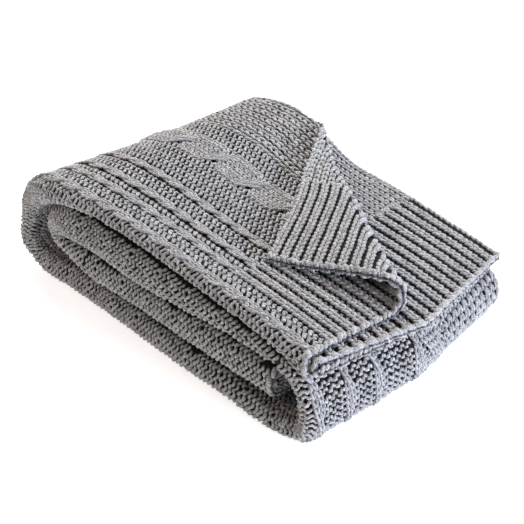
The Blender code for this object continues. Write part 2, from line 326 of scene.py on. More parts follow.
    @property
    def knots(self) -> np.ndarray:
        """Length along the cloth at each station, 0 at the outer hem: the distances between them, summed.

        Returns:
            Lengths, the last of them 0.
        """
        x = (self.column("near_x") + self.column("far_x")) / 2.0
        z = (self.column("near_z") + self.column("far_z")) / 2.0
        lengths = np.concatenate(([0.0], np.cumsum(np.hypot(np.diff(x), np.diff(z)))))
        return lengths - lengths[-1]

    @property
    def top_start(self) -> float:
        """Width position at which the top ply starts: three plies and three turns."""
        return 3.0 * self.ply_width + 2.0 * self.inner_turn + self.outer_turn

    @property
    def flat_size(self) -> tuple[float, float]:
        """Width and length of the flat cloth in metres."""
        return (self.top_start + self.ply_width) * MM, -self.knots[0] * MM

    def curve(self, s: np.ndarray, name: str) -> np.ndarray:
        """Smooth value of a station column: cubic pieces whose slopes weigh the chords on both sides.

        Args:
            s: lengths along the cloth.
            name: the column.

        Returns:
            The column's value at each length.
        """
        knots = self.knots
        values = self.column(name)
        step = np.diff(knots)
        chord = np.diff(values) / step
        slope = np.empty_like(values)
        slope[1:-1] = (step[:-1] * chord[1:] + step[1:] * chord[:-1]) / (step[:-1] + step[1:])
        slope[0] = chord[0]
        slope[-1] = chord[-1]
        i = np.clip(np.searchsorted(knots, s, side="right") - 1, 0, len(knots) - 2)
        f = (s - knots[i]) / step[i]
        start = (1.0 + 2.0 * f) * (1.0 - f) ** 2 * values[i] + f * (1.0 - f) ** 2 * step[i] * slope[i]
        end = f * f * (3.0 - 2.0 * f) * values[i + 1] - f * f * (1.0 - f) * step[i] * slope[i + 1]
        return start + end

    def across(self, y: np.ndarray, name: str) -> np.ndarray:
        """Value of a column of the table across the width."""
        rows = np.array(self.across_rows)
        return np.interp(y, rows[:, 0], rows[:, self.across_columns.index(name)])

    def middle_line(self, s: np.ndarray, y: np.ndarray) -> tuple[np.ndarray, np.ndarray]:
        """Middle line of the rolled bundle: the near and far sections mixed by the share at y.

        Args:
            s: lengths along the cloth.
            y: distances from the near side.

        Returns:
            Distance to the right and height of the middle line.
        """
        share = self.across(y, "far_share")
        x = (1.0 - share) * self.curve(s, "near_x") + share * self.curve(s, "far_x")
        z = (1.0 - share) * self.curve(s, "near_z") + share * self.curve(s, "far_z")
        z = z - self.across(y, "sag") * smooth(z, *self.sag_range)
        return x + self.across(y, "right_reach") * smooth(x, *self.reach_range), z

    def place(self, s: np.ndarray, y: np.ndarray, offset: np.ndarray, height: np.ndarray,
              near_turn: np.ndarray, far_turn: np.ndarray) -> np.ndarray:
        """Point of the bundle: the middle line, then outward by the ply's offset and the height.

        Args:
            s: lengths along the cloth.
            y: distances from the near side.
            offset: ply pitches outward from the middle line.
            height: millimetres outward on top of that.
            near_turn: ply pitches out past the near side.
            far_turn: ply pitches out past the far side.

        Returns:
            Points, in millimetres.
        """
        x, z = self.middle_line(s, y)
        x_after, z_after = self.middle_line(s + self.small, y)
        x_before, z_before = self.middle_line(s - self.small, y)
        length = np.hypot(x_after - x_before, z_after - z_before)
        normal_x = -(z_after - z_before) / length
        normal_z = (x_after - x_before) / length
        share = self.across(y, "far_share")
        thick = (1.0 - share) * self.curve(s, "near_thick") + share * self.curve(s, "far_thick")
        gap = (thick - self.cloth_thickness) / 3.0
        out = offset * gap + height
        near_y = self.curve(s, "near_y")
        side = near_y + y / self.ply_width * (self.curve(s, "far_y") - near_y)
        side = side + self.bulge * gap * (far_turn - near_turn)
        return np.stack((x + out * normal_x, side, z + out * normal_z), axis=-1)

    def width_position(self, v: np.ndarray) -> tuple[np.ndarray, ...]:
        """Where a width position lies in the folded bundle.

        Each ply runs straight between the near and the far side, and each turn is a half circle between two
        plies whose angle goes evenly with the width. An inner turn spans one ply pitch and the outer turn
        three, so their half circles have radii of a half and of one and a half.

        Args:
            v: positions across the flat cloth.

        Returns:
            Distance from the near side, ply offset, near turn, far turn and hem shortening.
        """
        w, inner, outer = self.ply_width, self.inner_turn, self.outer_turn
        starts = np.cumsum([0.0, w, inner, w, inner, w, outer, w])
        share = [np.clip((v - a) / (b - a), 0.0, 1.0) for a, b in zip(starts[:-1], starts[1:])]
        y = w * (1.0 - share[0] + share[2] - share[4] + share[6])
        offset = 0.5 * np.cos(np.pi * share[1]) - 1.0 + 0.5 * np.cos(np.pi * share[3]) + 0.5
        offset = offset - 1.5 * np.cos(np.pi * share[5]) + 1.5
        near = 0.5 * np.sin(np.pi * share[1]) + 1.5 * np.sin(np.pi * share[5])
        far = 0.5 * np.sin(np.pi * share[3])
        plies = (self.ply_b, self.ply_c, self.ply_d, self.ply_a)
        own = [ply.short(y) for ply in plies]
        short = own[0] + share[1] * (own[1] - own[0]) + share[3] * (own[2] - own[1])
        short = short + share[5] * (own[3] - own[2])
        return y, offset, near, far, short

    def turn_frame(self) -> tuple[np.ndarray, np.ndarray, np.ndarray, float]:
        """The corner's fold line.

        Returns:
            Start, unit direction, unit normal and length.
        """
        start = np.array(self.turn_start)
        run = np.array(self.turn_end) - start
        length = float(np.hypot(*run))
        direction = run / length
        return start, direction, np.array((-direction[1], direction[0])), length

    def turned(self, s: np.ndarray, y: np.ndarray) -> tuple[np.ndarray, ...]:
        """Turned corner of the top ply: a curl along the fold line, then flat again on the ply.

        Args:
            s: shortened lengths along the cloth.
            y: distances from the near side.

        Returns:
            Length and width position on the ply, height above it, and the angle that the cloth has turned.
        """
        start, direction, normal, length = self.turn_frame()
        along = (s - start[0]) * direction[0] + (y - start[1]) * direction[1]
        bend = -self.fold_bend * smooth(along / length, self.bend_from, 1.0)
        beyond = (s - start[0]) * normal[0] + (y - start[1]) * normal[1] - bend
        growth = np.clip(along / length, 0.0, self.growth_end) ** self.curl_growth
        radius = self.curl_start + (self.curl_end - self.curl_start) * growth
        angle = np.clip(beyond / radius, 0.0, np.pi)
        flat = self.drawn_in * np.maximum(beyond - np.pi * radius, 0.0)
        along = along + self.slide * flat
        moved = np.where(beyond > 0.0, radius * np.sin(angle) - flat, beyond)
        rest = np.minimum(2.0 * radius, self.rest_height)
        sink = (2.0 * radius - rest) * smooth(flat, 0.0, self.rest_distance)
        height = radius * (1.0 - np.cos(angle)) - sink
        new_s = start[0] + along * direction[0] + (bend + moved) * normal[0]
        new_y = start[1] + along * direction[1] + (bend + moved) * normal[1]
        return new_s, new_y, np.where(beyond > 0.0, height, 0.0), beyond / radius

    def shortened(self, s: np.ndarray, short: np.ndarray) -> np.ndarray:
        """Lengths along the cloth after the outer hem is drawn back by the shortening."""
        last = self.knots[self.hem_from]
        return np.where(s > last, last + (s - last) * (1.0 - short / (self.knots[-1] - last)), s)

    def turn_angle(self, s: np.ndarray, v: np.ndarray) -> np.ndarray:
        """Angle that the corner has turned at points of the cloth, 0 off the corner.

        Args:
            s: lengths along the cloth.
            v: positions across the flat cloth.

        Returns:
            Angles in radians.
        """
        y, _, _, _, short = self.width_position(v)
        angle = self.turned(self.shortened(s, short), y)[3]
        return np.where((v >= self.top_start) & (s > self.turn_start[0]), np.maximum(angle, 0.0), 0.0)

    def surface(self, s: np.ndarray, v: np.ndarray) -> np.ndarray:
        """Folded position of the cloth's middle surface.

        Args:
            s: lengths along the cloth.
            v: positions across the flat cloth.

        Returns:
            Points, in millimetres.
        """
        y, offset, near_turn, far_turn, short = self.width_position(v)
        s = self.shortened(s, short)
        flap_s, flap_y, flap_height, turned = self.turned(s, y)
        flapped = (v >= self.top_start) & (turned > 0.0) & (s > self.turn_start[0])
        height = np.where(flapped, flap_height, 0.0)
        s = np.where(flapped, flap_s, s)
        y = np.where(flapped, flap_y, y)
        return self.place(s, y, offset, height, near_turn, far_turn)

    def outward(self, s: np.ndarray, v: np.ndarray, reach: float = 0.4) -> np.ndarray:
        """Unit normals on the right side of the cloth: the cross product of its two directions.

        Args:
            s: lengths along the cloth.
            v: positions across the flat cloth.
            reach: half the distance over which a direction is taken.

        Returns:
            One unit vector a point.
        """
        along = self.surface(s + reach, v) - self.surface(s - reach, v)
        over = self.surface(s, v + reach) - self.surface(s, v - reach)
        normal = np.cross(along, over)
        return normal / np.maximum(np.linalg.norm(normal, axis=-1, keepdims=True), TINY)

    def rows(self, v: float, start: float, end: float, pitch: float) -> tuple[np.ndarray, np.ndarray]:
        """Rows a true distance apart on the folded cloth, counted back from the end.

        Args:
            v: width position at which the distance is measured.
            start: length along the cloth at which the rows stop.
            end: length at which they begin.
            pitch: true distance between rows.

        Returns:
            Lengths along the cloth of the rows, and the length along the cloth that one row takes there.
        """
        s = np.linspace(start, end, int((end - start) / self.measure_step) + 2)
        points = self.surface(s, np.full(s.shape, v))
        run = np.concatenate(([0.0], np.linalg.norm(np.diff(points, axis=0), axis=-1).cumsum()))
        places = np.arange(run[-1], 0.0, -pitch)[::-1]
        rows = np.interp(places, run, s)
        return rows, np.gradient(rows)

    def arcs(self, s: np.ndarray, v_range: tuple[float, float]) -> tuple[np.ndarray, np.ndarray]:
        """True lengths across the folded cloth, summed over short steps.

        Args:
            s: lengths along the cloth.
            v_range: width position from which and up to which lengths are taken.

        Returns:
            Width positions, and for each length along the cloth the true length from the first to each.
        """
        v = np.linspace(v_range[0], v_range[1], self.measure_lines)
        points = self.surface(*np.meshgrid(s, v, indexing="ij"))
        steps = np.linalg.norm(np.diff(points, axis=1), axis=-1)
        return v, np.concatenate((np.zeros((len(s), 1)), steps.cumsum(axis=1)), axis=1)

    def shell(self, s: np.ndarray, v: np.ndarray, height: np.ndarray) -> tuple[np.ndarray, np.ndarray]:
        """Points at a height above the cloth, and the normals there.

        Args:
            s: lengths along the cloth.
            v: positions across the flat cloth.
            height: millimetres outward from the middle of the cloth.

        Returns:
            Points in metres in the frame, and unit normals.
        """
        normal = self.outward(s, v)
        point = self.surface(s, v) + np.asarray(height)[..., None] * normal - np.array(self.centre)
        return point * MM, normal


@dataclass(frozen=True)
class Yarn:
    """Soft marled yarn: light and dark fibres spun together, matt, with a short bloom of loose fibre."""

    name: str
    light: tuple[float, float, float, float]
    dark: tuple[float, float, float, float]
    # colour of the painted shade in the low places between stitches
    painted_shade: tuple[float, float, float, float]
    roughness: float = 0.92
    sheen: float = 0.12
    sheen_roughness: float = 0.6
    specular: float = 0.1
    fibre_scale: float = 1500.0
    fibre_detail: float = 2.0
    mottle_scale: float = 260.0
    mottle: float = 0.35
    # sums of noise that give the dark and the light fibre
    spread: tuple[float, float] = (0.48, 0.88)
    # heights above the cloth, in millimetres, at which the painted shade in creases and gaps is full and at which the
    # yarn has its full colour
    painted_shade_height: float = 0.0
    full_height: float = 1.9
    tone: float = 0.06
    twist: float = 0.6
    twist_depth: float = 0.0005
    twist_scale: float = 1.6
    twist_distortion: float = 2.5
    twist_detail: float = 3.0

    def marl(self, tree: bpy.types.NodeTree) -> bpy.types.NodeSocket:
        """Mix of light and dark fibre.

        Fine noise and a share of a broader one are added, and each length of yarn adds its own tone. The sum
        picks a place between the dark and the light fibre.

        Args:
            tree: the material's nodes.

        Returns:
            The colour's socket.
        """
        nodes, links = tree.nodes, tree.links
        place = nodes.new("ShaderNodeTexCoord")
        fibre = nodes.new("ShaderNodeTexNoise")
        fibre.inputs["Scale"].default_value = self.fibre_scale
        fibre.inputs["Detail"].default_value = self.fibre_detail
        links.new(place.outputs["Object"], fibre.inputs["Vector"])
        mottle = nodes.new("ShaderNodeTexNoise")
        mottle.inputs["Scale"].default_value = self.mottle_scale
        links.new(place.outputs["Object"], mottle.inputs["Vector"])
        both = nodes.new("ShaderNodeMath")
        both.operation = "MULTIPLY_ADD"
        both.inputs[1].default_value = self.mottle
        links.new(mottle.outputs["Fac"], both.inputs[0])
        links.new(fibre.outputs["Fac"], both.inputs[2])
        tone = nodes.new("ShaderNodeAttribute")
        tone.attribute_name = "tone"
        toned = nodes.new("ShaderNodeMath")
        toned.operation = "MULTIPLY_ADD"
        toned.inputs[1].default_value = self.tone
        links.new(tone.outputs["Fac"], toned.inputs[0])
        links.new(both.outputs["Value"], toned.inputs[2])
        spread = nodes.new("ShaderNodeMapRange")
        spread.inputs["From Min"].default_value = self.spread[0]
        spread.inputs["From Max"].default_value = self.spread[1]
        links.new(toned.outputs["Value"], spread.inputs["Value"])
        marl = nodes.new("ShaderNodeMix")
        marl.data_type = "RGBA"
        marl.inputs["A"].default_value = self.dark
        marl.inputs["B"].default_value = self.light
        links.new(spread.outputs["Result"], marl.inputs["Factor"])
        return marl.outputs["Result"]

    def material(self) -> bpy.types.Material:
        """Make the material.

        The marl falls to a painted shade colour where the surface lies low between stitches, shade painted into the
        gaps and creases.
        The bump is the twist of the plies, a wave along the yarn's own length.

        Returns:
            The material.
        """
        material = bpy.data.materials.new(self.name)
        material.use_nodes = True
        tree = material.node_tree
        nodes, links = tree.nodes, tree.links
        shader = nodes["Principled BSDF"]
        shader.inputs["Roughness"].default_value = self.roughness
        shader.inputs["Sheen Weight"].default_value = self.sheen
        shader.inputs["Sheen Roughness"].default_value = self.sheen_roughness
        shader.inputs["Specular IOR Level"].default_value = self.specular
        # painted shade: the yarn is darkened where it lies low on the cloth, in creases and between stitches, standing
        # in for the shade there
        height = nodes.new("ShaderNodeAttribute")
        height.attribute_name = "height"
        painted_shade_fade = nodes.new("ShaderNodeMapRange")
        painted_shade_fade.inputs["From Min"].default_value = self.painted_shade_height
        painted_shade_fade.inputs["From Max"].default_value = self.full_height
        links.new(height.outputs["Fac"], painted_shade_fade.inputs["Value"])
        shade = nodes.new("ShaderNodeMix")
        shade.data_type = "RGBA"
        shade.inputs["A"].default_value = self.painted_shade
        links.new(painted_shade_fade.outputs["Result"], shade.inputs["Factor"])
        links.new(self.marl(tree), shade.inputs["B"])
        links.new(shade.outputs["Result"], shader.inputs["Base Color"])
        along = nodes.new("ShaderNodeUVMap")
        along.uv_map = "yarn"
        twist = nodes.new("ShaderNodeTexWave")
        twist.bands_direction = "DIAGONAL"
        twist.inputs["Scale"].default_value = self.twist_scale
        twist.inputs["Distortion"].default_value = self.twist_distortion
        twist.inputs["Detail"].default_value = self.twist_detail
        links.new(along.outputs["UV"], twist.inputs["Vector"])
        bump = nodes.new("ShaderNodeBump")
        bump.inputs["Strength"].default_value = self.twist
        bump.inputs["Distance"].default_value = self.twist_depth
        links.new(twist.outputs["Fac"], bump.inputs["Height"])
        links.new(bump.outputs["Normal"], shader.inputs["Normal"])
        return material


GREY_YARN = Yarn("grey_marl_yarn", light=(0.47, 0.465, 0.47, 1.0), dark=(0.17, 0.168, 0.17, 1.0),
                 painted_shade=(0.018, 0.017, 0.017, 1.0))
# yarn of the ground sheet: dark colours that paint the shade seen in the gaps between stitches
GAP_SHADE_YARN = Yarn("knit_ground_painted_shade", light=(0.1, 0.098, 0.098, 1.0), dark=(0.04, 0.039, 0.039, 1.0),
                   painted_shade=(0.018, 0.017, 0.017, 1.0), sheen=0.0)


@dataclass
class Camera:
    """The photograph's viewpoint."""

    place: tuple[float, float, float] = (0.5349, -0.5061, 0.495)
    forward: tuple[float, float] = (-0.7278, 0.6858)
    pitch: float = 32.5
    lens: float = 80.8
    sensor: float = 36.0
    nearest: float = 0.01

    def build(self) -> None:
        """Make the camera level, turned down by its pitch."""
        data = bpy.data.cameras.new("camera")
        data.lens = self.lens
        data.sensor_width = self.sensor
        data.clip_start = self.nearest
        camera = bpy.data.objects.new("camera", data)
        bpy.context.scene.collection.objects.link(camera)
        camera.location = self.place
        down = np.radians(self.pitch)
        ahead = Vector((self.forward[0] * np.cos(down), self.forward[1] * np.cos(down), -np.sin(down)))
        camera.rotation_euler = ahead.to_track_quat("-Z", "Y").to_euler()
        bpy.context.scene.camera = camera


@dataclass
class Studio:
    """Plain white floor that glows a little, white room and soft lights."""

    floor_reach: float = 6.0
    floor_colour: tuple[float, float, float, float] = (0.9, 0.9, 0.9, 1.0)
    floor_roughness: float = 0.9
    floor_glow: float = 0.6
    glow_colour: tuple[float, float, float, float] = (1.0, 1.0, 1.0, 1.0)
    room_colour: tuple[float, float, float, float] = (1.0, 0.955, 0.92, 1.0)
    room_strength: float = 0.26
    # name, place, size, strength, colour
    lights: tuple[tuple[str, tuple[float, float, float], float, float, tuple[float, float, float]], ...] = (
        ("overhead", (-0.65, 0.6, 1.25), 0.9, 47.0, (0.985, 0.99, 1.0)),
        ("right", (1.25, 0.15, 0.1), 0.6, 37.0, (0.76, 0.83, 1.0)),
        ("near", (-0.5, -1.0, 1.0), 0.6, 5.0, (1.0, 0.78, 0.64)),
    )

    def floor(self) -> None:
        """Floor at the height that the blanket rests on."""
        r = self.floor_reach
        mesh = bpy.data.meshes.new("floor")
        mesh.from_pydata([(-r, -r, 0.0), (r, -r, 0.0), (r, r, 0.0), (-r, r, 0.0)], [], [(0, 1, 2, 3)])
        material = bpy.data.materials.new("floor_paper")
        material.use_nodes = True
        shader = material.node_tree.nodes["Principled BSDF"]
        shader.inputs["Base Color"].default_value = self.floor_colour
        shader.inputs["Roughness"].default_value = self.floor_roughness
        shader.inputs["Emission Color"].default_value = self.glow_colour
        shader.inputs["Emission Strength"].default_value = self.floor_glow
        mesh.materials.append(material)
        floor = bpy.data.objects.new("floor", mesh)
        bpy.context.scene.collection.objects.link(floor)
        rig.stage(floor)

    def room(self) -> None:
        """Even white light from all round."""
        world = bpy.data.worlds.new("room")
        world.use_nodes = True
        background = world.node_tree.nodes["Background"]
        background.inputs["Color"].default_value = self.room_colour
        background.inputs["Strength"].default_value = self.room_strength
        bpy.context.scene.world = world
        bpy.context.scene.view_settings.view_transform = "Standard"

    def lamp(self, name: str, place: tuple[float, float, float], size: float, power: float,
             colour: tuple[float, float, float]) -> None:
        """Make one square soft light, aimed at the blanket.

        Args:
            name: the light's name.
            place: where it hangs, in metres.
            size: its side.
            power: its strength in watts.
            colour: its colour.
        """
        data = bpy.data.lights.new(name, "AREA")
        data.size = size
        data.energy = power
        data.color = colour
        light = bpy.data.objects.new(name, data)
        bpy.context.scene.collection.objects.link(light)
        light.location = place
        light.rotation_euler = (-Vector(place)).to_track_quat("-Z", "Y").to_euler()

    def build(self) -> None:
        """Floor, room and lights."""
        self.floor()
        self.room()
        for light in self.lights:
            self.lamp(*light)


@dataclass(frozen=True)
class Stitches:
    """Short lengths of yarn on the cloth: one row of each array is one length of yarn."""

    s: np.ndarray
    v: np.ndarray
    h: np.ndarray
    r: np.ndarray

    def kept(self, keep: np.ndarray) -> "Stitches":
        """Only the lengths of yarn that the mask keeps."""
        return Stitches(self.s[keep], self.v[keep], self.h[keep], self.r[keep])

    def middle(self) -> tuple[np.ndarray, np.ndarray]:
        """Length and width position of the middle of each length of yarn."""
        return self.s.mean(axis=1), self.v.mean(axis=1)

    def uneven(self, amount: float = 0.28) -> "Stitches":
        """Hand-made unevenness: each length of yarn moved, lifted, thickened and tilted a little.

        Args:
            amount: the most that it moves, in millimetres.

        Returns:
            The stitches, each with its own share of the amount.
        """
        move = lattice(len(self.s), 5) * amount
        tilt = np.linspace(-1.0, 1.0, self.s.shape[1])[None, :] * move[:, 4:5]
        lifted = self.h + move[:, 2:3] * UNEVEN_LIFT
        thickened = self.r * (1.0 + move[:, 3:4] * UNEVEN_THICKNESS)
        return Stitches(self.s + move[:, :1] + tilt, self.v + move[:, 1:2], lifted, thickened)


@dataclass(frozen=True)
class PurlLoop:
    """One stitch of the bumpy ground: the yarn arches up over one row and down over the next."""

    width: float = 6.4
    pitch: float = 4.6
    sway: float = 1.15
    rise: float = 0.85
    base: float = 0.95
    radius: float = 1.28
    # share of the stitch's width, sway along the cloth, rise, thickness
    path: tuple[tuple[float, float, float, float], ...] = (
        (0.00, 0.30, -0.50, 0.82),
        (0.14, 0.95, 0.50, 1.00),
        (0.29, 0.85, 1.00, 1.10),
        (0.43, 0.15, 0.10, 0.94),
        (0.57, -0.65, -0.05, 0.92),
        (0.71, -0.95, 0.80, 1.04),
        (0.86, -0.50, 0.50, 0.98),
        (1.00, 0.30, -0.50, 0.82),
    )
    # added to the loops that fit a row, before the number is cut to a whole one
    round_up: float = 0.65
    # share of a loop by which a row may be ahead of the first, and millimetres that a loop may pass the end
    most_ahead: float = 0.5
    slack: float = 0.1

    def fill(self, fold: Fold, s_range: tuple[float, float], v_range: tuple[float, float],
             face: Face = Face.RIGHT) -> Stitches:
        """Rows of loops over a rectangle of the cloth, stretched to a whole number in each row.

        Args:
            fold: the folded form.
            s_range: first and last length along the cloth.
            v_range: width position at which the rows start and the one at which they end.
            face: side of the cloth that they stand on.

        Returns:
            The loops.
        """
        rows = fold.rows(0.5 * (v_range[0] + v_range[1]), s_range[0], s_range[1], self.pitch)
        v, arcs = fold.arcs(rows[0], v_range)
        count = max(int(arcs[:, -1].mean() / self.width + self.round_up), 1)
        starts = np.broadcast_to(np.arange(count), (len(arcs), count))
        return self.lay(rows, v, arcs, starts, arcs[:, -1] / count, face)

    def run(self, fold: Fold, s_range: tuple[float, float], v_range: tuple[float, float], measured: float,
            slant: float) -> Stitches:
        """Rows of loops of one true size from the first width position on; those past the last are left out.

        Args:
            fold: the folded form.
            s_range: first and last length along the cloth.
            v_range: width position at which the rows start and the one at which they end.
            measured: width position at which the rows' distance is measured.
            slant: share of a loop by which each row is ahead of the one before.

        Returns:
            The loops.
        """
        rows = fold.rows(measured, s_range[0], s_range[1], self.pitch)
        v, arcs = fold.arcs(rows[0], v_range)
        count = int(arcs[:, -1].max() / self.width)
        ahead = np.arange(len(arcs))[:, None] * slant % self.most_ahead
        return self.lay(rows, v, arcs, np.arange(count) + ahead, np.full(len(arcs), self.width), Face.RIGHT)

    def lay(self, rows: tuple[np.ndarray, np.ndarray], v: np.ndarray, arcs: np.ndarray, starts: np.ndarray,
            widths: np.ndarray, face: Face) -> Stitches:
        """Loops at places counted along each row: the path scaled by the loop's width, sway and rise.

        Args:
            rows: lengths along the cloth of the rows, and the row's own length there.
            v: width positions at which the rows were measured.
            arcs: true length from the row's start to each of them.
            starts: place of each loop in its row, in loops.
            widths: true width of a loop in each row.
            face: side of the cloth that they stand on.

        Returns:
            The loops.
        """
        s, step = rows
        path = np.array(self.path)
        wanted = (starts[:, :, None] + path[:, 0]) * widths[:, None, None]
        over = np.stack([np.interp(row, arc, v) for row, arc in zip(wanted, arcs)])
        along = s[:, None, None] + path[:, 1] * self.sway * step[:, None, None] / self.pitch
        inside = wanted.max(axis=2) <= arcs[:, -1:] + self.slack
        along = np.broadcast_to(along, over.shape)[inside]
        high = face.value * (self.base + path[:, 2] * self.rise)
        return Stitches(along, over[inside], np.broadcast_to(high, along.shape) + 0.0,
                        np.broadcast_to(path[:, 3] * self.radius, along.shape) + 0.0)


@dataclass(frozen=True)
class Lane:
    """Line along the cloth that a column of smooth stitches follows, straight or as one strand of a cable."""

    v: float
    # how far a strand stands from the cable's middle, length between crossings, and where a period starts
    swing: float = 0.0
    period: float = 40.0
    start: float = 0.0
    # share of the period that a crossing takes
    share: float = 0.45
    side: float = 1.0
    # place of the column in its strand, and how much of that is lost at a crossing
    wale: float = 0.0
    squeeze: float = 0.15
    # rise of the strand that passes over, sinking of the one under it, and height of both
    over: float = 1.2
    under: float = 1.6
    lift: float = 0.0

    def at(self, s: np.ndarray) -> tuple[np.ndarray, np.ndarray]:
        """Width position and lift of the lane.

        A strand keeps to its side of the cable, then eases to the other side in the last share of the period.
        The strand that goes towards the far side passes over the one that comes back.

        Args:
            s: lengths along the cloth.

        Returns:
            Width positions, and heights added to the stitches.
        """
        if self.swing == 0.0:
            return np.full(np.shape(s), self.v + self.wale), np.full(np.shape(s), self.lift)
        phase = (s - self.start) / self.period
        cell = np.floor(phase)
        part = phase - cell
        sign = self.side * np.where(cell % 2 == 0, 1.0, -1.0)
        crossing = smooth(part, 1.0 - self.share, 1.0)
        hump = np.sin(np.pi * np.clip((part - 1.0 + self.share) / self.share, 0.0, 1.0))
        centre = self.v + self.swing * sign * (1.0 - 2.0 * crossing)
        high = np.where(sign < 0.0, self.over * hump, -self.under * hump)
        return centre + self.wale * (1.0 - self.squeeze * hump), self.lift + high


@dataclass(frozen=True)
class KnitLeg:
    """One leg of a smooth stitch: a plump lobe that leans out from the middle of its column."""

    width: float = 4.4
    pitch: float = 5.0
    # length of a leg in rows
    reach: float = 1.35
    base: float = 0.9
    rise: float = 0.85
    radius: float = 1.1
    # distances from the column's middle at which a leg starts and ends, as shares of the width
    inner: float = 0.06
    outer: float = 0.38
    points: int = 5
    # place on the half sine at which a leg starts, and the share of the half sine that it covers
    sine_start: float = 0.06
    sine_cover: float = 0.88
    # share of the radius at the leg's thinnest, and what the half sine adds
    thin: float = 0.55
    plump: float = 0.45

    def lay(self, lane: Lane, rows: tuple[np.ndarray, np.ndarray], face: Face = Face.RIGHT) -> Stitches:
        """Two legs at each place along a lane.

        A leg starts low at the middle of the column, rises along a half sine as it leans out, and sinks under
        the next stitch's leg. Its thickness follows the same half sine.

        Args:
            lane: the lane.
            rows: lengths along the cloth of the stitches, and the row's own length there.
            face: side of the cloth that they stand on.

        Returns:
            The legs.
        """
        s, step = rows
        t = np.linspace(0.0, 1.0, self.points)
        hump = np.sin(np.pi * (self.sine_start + self.sine_cover * t))
        along = s[:, None] - (t[None, :] - 0.5) * step[:, None] * self.reach
        lane_v, lift = lane.at(along)
        lean = (self.inner + (self.outer - self.inner) * np.sin(0.5 * np.pi * t)) * self.width
        high = face.value * (self.base + lift + self.rise * (2.0 * hump - 1.0))
        thick = np.broadcast_to(self.radius * (self.thin + self.plump * hump), along.shape) + 0.0
        both = [Stitches(along, lane_v + side * lean, high, thick) for side in (-1.0, 1.0)]
        return join(both)


def join(groups: list[Stitches]) -> Stitches:
    """Groups of stitches with equal numbers of points as one."""
    names = ("s", "v", "h", "r")
    return Stitches(*(np.concatenate([getattr(group, name) for group in groups]) for name in names))


@dataclass
class Weaver:
    """Turns stitches on the cloth into round yarn in the frame."""

    fold: Fold
    # points round the yarn
    sides: int = 6
    # least height above the ground, in metres
    floor: float = 0.0003
    # scale of the yarn map along the yarn, and how far it is shifted from one length of yarn to the next
    map_scale: float = 0.25
    map_shift: float = 3.7
    map_range: float = 97.0

    def tubes(self, stitches: Stitches) -> tuple[np.ndarray, ...]:
        """Closed tubes: rings square to each path, their first point along the cloth's normal.

        Args:
            stitches: lengths of yarn on the cloth.

        Returns:
            Points, four-sided faces, heights above the cloth, tones, and the corners' places on the yarn map.
        """
        count, steps = stitches.s.shape
        sides = self.sides
        centre, normal = self.fold.shell(stitches.s, stitches.v, stitches.h)
        tangent = np.gradient(centre, axis=1)
        tangent /= np.maximum(np.linalg.norm(tangent, axis=-1, keepdims=True), TINY)
        up = normal - (normal * tangent).sum(axis=-1, keepdims=True) * tangent
        up /= np.maximum(np.linalg.norm(up, axis=-1, keepdims=True), TINY)
        aside = np.cross(tangent, up)
        angle = 2.0 * np.pi * np.arange(sides) / sides
        ring = np.cos(angle)[:, None] * up[:, :, None, :] + np.sin(angle)[:, None] * aside[:, :, None, :]
        radius = stitches.r[:, :, None, None] * MM
        points = centre[:, :, None, :] + radius * ring
        points[..., 2] = np.maximum(points[..., 2], self.floor)
        # heights of the ring points: yarn that faces down or lies low gets more of the painted shade
        lean = (ring * normal[:, :, None, :]).sum(axis=-1)
        outward = np.sign(stitches.h.mean(axis=1))[:, None, None]
        heights = outward * (stitches.h[:, :, None] + stitches.r[:, :, None] * lean)
        tones = np.broadcast_to(lattice(count)[:, None, None], heights.shape)
        number = np.arange(count * steps * sides).reshape(count, steps, sides)
        after = np.roll(number, -1, axis=2)
        wall = np.stack((number[:, :-1], after[:, :-1], after[:, 1:], number[:, 1:]), axis=-1).reshape(-1, 4)
        first, last = number[:, 0], number[:, -1]
        caps = []
        for k in range(1, sides // 2):
            a, b, c, d = 0, 2 * k - 1, 2 * k, (2 * k + 1) % sides
            caps.append(np.stack((first[:, a], first[:, d], first[:, c], first[:, b]), axis=-1))
            caps.append(np.stack((last[:, a], last[:, b], last[:, c], last[:, d]), axis=-1))
        faces = np.concatenate([wall] + caps)
        run = np.linalg.norm(np.diff(centre, axis=1), axis=-1).cumsum(axis=1) / MM
        shift = self.map_shift * np.arange(count)[:, None] % self.map_range
        run = np.concatenate((np.zeros((count, 1)), run), axis=1) + shift
        along = np.broadcast_to(run[:, :, None], (count, steps, sides)) * self.map_scale
        around = np.broadcast_to(np.arange(sides) / sides, (count, steps, sides))
        flat = np.stack((along, around), axis=-1).reshape(-1, 2)
        uv = flat[faces]
        wrapped = np.zeros(len(faces), dtype=bool)
        wrapped[:len(wall)] = wall[:, 1] < wall[:, 0]
        uv[wrapped, 1:3, 1] += 1.0
        return points.reshape(-1, 3), faces, heights.reshape(-1), tones.reshape(-1), uv

    def piece(self, name: str, groups: list[Stitches], material: bpy.types.Material) -> bpy.types.Object:
        """One object of all the groups' yarn.

        Args:
            name: the piece's name.
            groups: stitches, each group with its own number of points.
            material: the yarn.

        Returns:
            The object.
        """
        parts = [self.tubes(group) for group in groups if len(group.s)]
        starts = np.cumsum([0] + [len(part[0]) for part in parts])
        faces = np.concatenate([part[1] + start for part, start in zip(parts, starts)])
        points, heights, tones, uv = (np.concatenate([part[k] for part in parts]) for k in (0, 2, 3, 4))
        return Piece(name, points, faces, heights, tones, uv, material).build()


